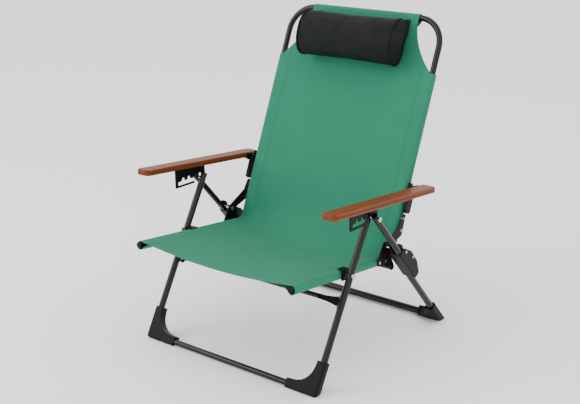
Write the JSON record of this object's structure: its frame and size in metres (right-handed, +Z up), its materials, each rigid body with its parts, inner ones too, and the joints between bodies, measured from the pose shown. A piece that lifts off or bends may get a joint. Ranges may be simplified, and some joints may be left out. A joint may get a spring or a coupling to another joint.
{
  "type": "folding camp chair",
  "caption": "Folding reclining camp chair with a sling seat and back, wooden armrests on notched racks, crossed legs with floor bars and a head pillow.",
  "frame": {"origin": "middle of the bounding box's footprint, on the floor", "axes": "+Z up, the sitter faces -Y, +X is the sitter's left, X = 0 is the plane of symmetry"},
  "size_m": [0.69, 0.724, 0.9105],
  "materials": {
    "green_fabric": "matte woven",
    "black_fabric": "matte woven",
    "wood": "satin varnish",
    "rivet_steel": "bright",
    "black_plastic": "matte",
    "bronze_tube": "satin powder coat",
    "black_steel": "satin powder coat"
  },
  "bodies": {
    "front_legs": {"front_leg_tube_left": "bronze_tube", "front_leg_tube_right": "bronze_tube", "front_foot_left": "black_plastic", "front_foot_right": "black_plastic", "front_floor_bar": "bronze_tube", "cross_brace": "bronze_tube", "brace_gussets": "black_steel", "brace_rivets": "rivet_steel", "leg_cross_pins": "rivet_steel", "seat_pivot_bolts": "rivet_steel", "leg_top_caps": "black_plastic"},
    "rear_legs": {"rear_upper_tube_left": "bronze_tube", "rear_upper_tube_right": "bronze_tube", "rear_lower_tube_left": "bronze_tube", "rear_lower_tube_right": "bronze_tube", "rear_coupler_left": "black_plastic", "rear_coupler_right": "black_plastic", "rear_foot_left": "black_plastic", "rear_foot_right": "black_plastic", "rear_floor_bar": "bronze_tube", "seat_saddles": "black_steel", "coupler_rivets": "rivet_steel", "coupler_clips": "black_plastic"},
    "seat": {"seat_tube_left": "bronze_tube", "seat_tube_right": "bronze_tube", "seat_end_caps": "black_plastic", "seat_sling": "green_fabric", "seat_pivot_straps": "black_steel", "seat_hinge_plates": "black_steel", "hinge_studs": "rivet_steel", "seat_plate_rivets": "rivet_steel"},
    "back_hinge": {"hinge_yokes": "black_steel", "yoke_bar": "bronze_tube"},
    "back": {"back_tube": "bronze_tube", "back_sling": "green_fabric", "back_leaves": "black_steel", "back_leaf_rivets": "rivet_steel", "pillow": "black_fabric", "pillow_straps": "black_fabric", "arm_pivot_left": "black_steel", "arm_pivot_right": "black_steel"},
    "arm_lever_left": {"arm_lever_left": "black_steel"},
    "arm_lever_right": {"arm_lever_right": "black_steel"},
    "armrest_left": {"armrest_left": "wood", "arm_lug_left": "black_steel", "rack_left": "black_steel", "arm_screws_left": "rivet_steel"},
    "armrest_right": {"armrest_right": "wood", "arm_lug_right": "black_steel", "rack_right": "black_steel", "arm_screws_right": "rivet_steel"}
  },
  "joints": [
    {"name": "leg_fold", "type": "hinge", "parent": "front_legs", "child": "rear_legs", "pos_m": [0, -0.06202, 0.43], "axis": [-1, 0, 0], "range_deg": [0, 64]},
    {"name": "seat_turn", "type": "hinge", "parent": "front_legs", "child": "seat", "pos_m": [0, -0.14202, 0.288], "axis": [1, 0, 0], "range_deg": [0, 57.05]},
    {"name": "back_turn", "type": "hinge", "parent": "seat", "child": "back_hinge", "pos_m": [0, 0.04798, 0.311], "axis": [1, 0, 0], "range_deg": [0, 107.55]},
    {"name": "back_recline", "type": "hinge", "parent": "back_hinge", "child": "back", "pos_m": [0, 0.04798, 0.311], "axis": [-1, 0, 0], "range_deg": [0, 38]},
    {"name": "arm_tilt_left", "type": "hinge", "parent": "back", "child": "arm_lever_left", "pos_m": [0, 0.16598, 0.45], "axis": [1, 0, 0], "range_deg": [0, 18.33]},
    {"name": "arm_turn_left", "type": "hinge", "parent": "arm_lever_left", "child": "armrest_left", "pos_m": [0, 0.16598, 0.45], "axis": [-1, 0, 0], "range_deg": [0, 107.55]},
    {"name": "arm_tilt_right", "type": "hinge", "parent": "back", "child": "arm_lever_right", "pos_m": [0, 0.16598, 0.45], "axis": [1, 0, 0], "range_deg": [0, 18.33]},
    {"name": "arm_turn_right", "type": "hinge", "parent": "arm_lever_right", "child": "armrest_right", "pos_m": [0, 0.16598, 0.45], "axis": [-1, 0, 0], "range_deg": [0, 107.55]}
  ],
  "couplings": [
    {"joint": "seat_turn", "follows": "leg_fold", "ratio": 0.89062},
    {"joint": "back_turn", "follows": "leg_fold", "ratio": 1.6797},
    {"joint": "arm_turn_left", "follows": "leg_fold", "ratio": 1.6797},
    {"joint": "arm_turn_right", "follows": "leg_fold", "ratio": 1.6797},
    {"joint": "arm_tilt_left", "follows": "back_recline", "ratio": 0.481},
    {"joint": "arm_tilt_right", "follows": "back_recline", "ratio": 0.481}
  ]
}
